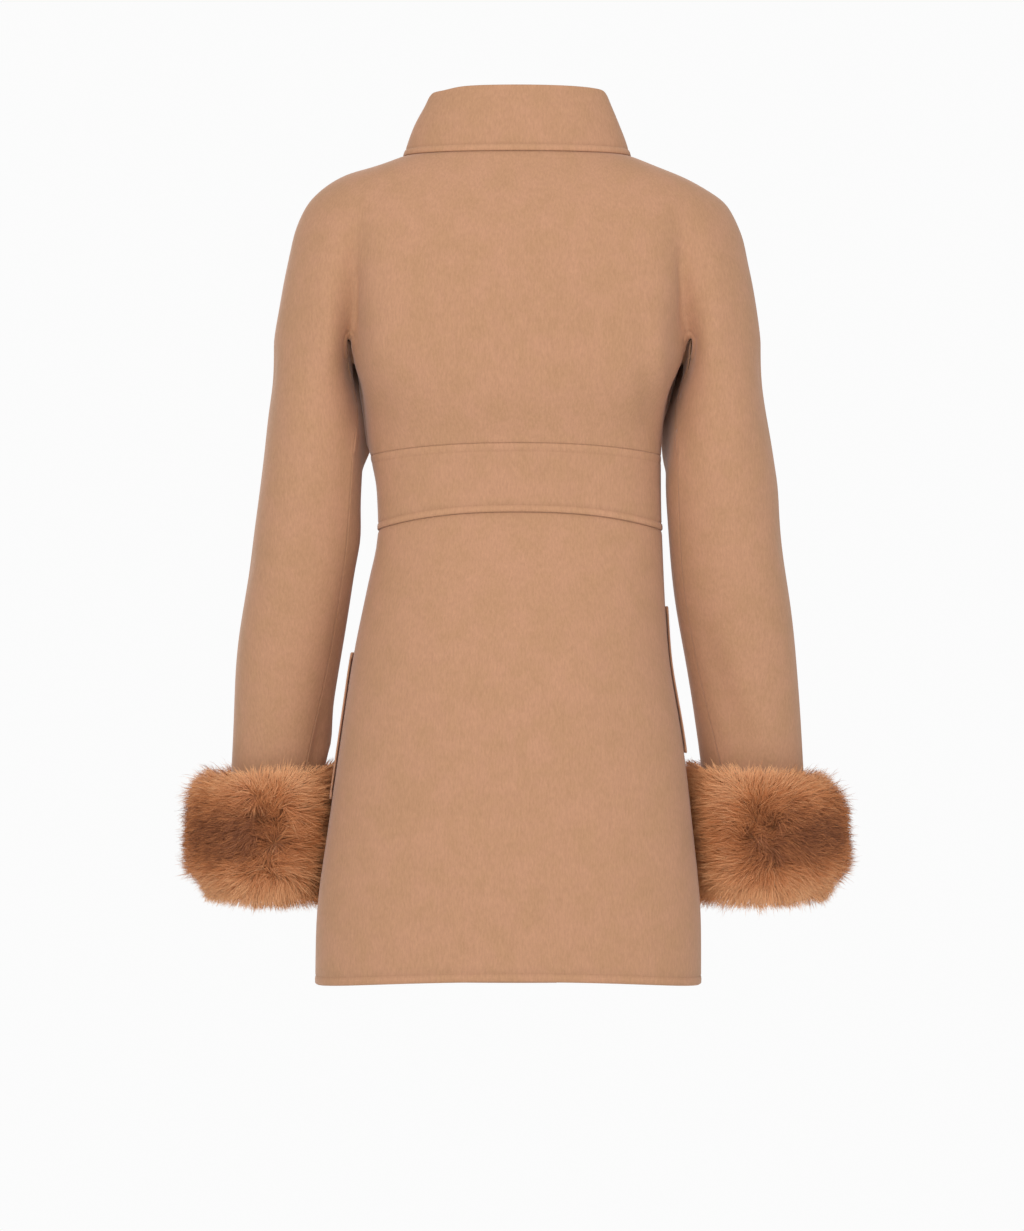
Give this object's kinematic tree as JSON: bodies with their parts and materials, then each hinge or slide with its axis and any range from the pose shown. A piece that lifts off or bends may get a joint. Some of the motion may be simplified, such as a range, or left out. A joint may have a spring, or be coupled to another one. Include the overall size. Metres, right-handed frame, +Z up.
{
  "type": "women's wool coat with fur cuffs",
  "caption": "Thigh-length fitted wool coat with a stand collar, grown-on sleeves, a set-in waistband, a flared skirt and deep fur cuffs, held in its worn form.",
  "frame": {"origin": "midway between the wearer's shoulders, at the height of the neck seam, where the shoulders carry the coat", "axes": "+Z up, -Y towards the front of the coat, +X towards the wearer's left"},
  "size_m": [0.693, 0.2864, 0.9211],
  "materials": {
    "wool": "camel wool coating, soft brushed nap, no shine",
    "wool_trim": "the same camel wool cut across, a touch paler, soft brushed nap",
    "fur": "long reddish brown fur with golden tips and a darker middle band"
  },
  "bodies": {
    "root": {"back": "wool", "front_left": "wool", "front_right": "wool", "gusset_left": "wool", "gusset_right": "wool", "skirt_back": "wool", "skirt_front_left": "wool", "skirt_front_right": "wool", "collar": "wool_trim", "waistband_back": "wool_trim", "waistband_front_left": "wool_trim", "waistband_front_right": "wool_trim", "pocket_edge_left": "wool_trim", "pocket_edge_right": "wool_trim", "cuff_left": "fur", "cuff_right": "fur"}
  },
  "joints": []
}
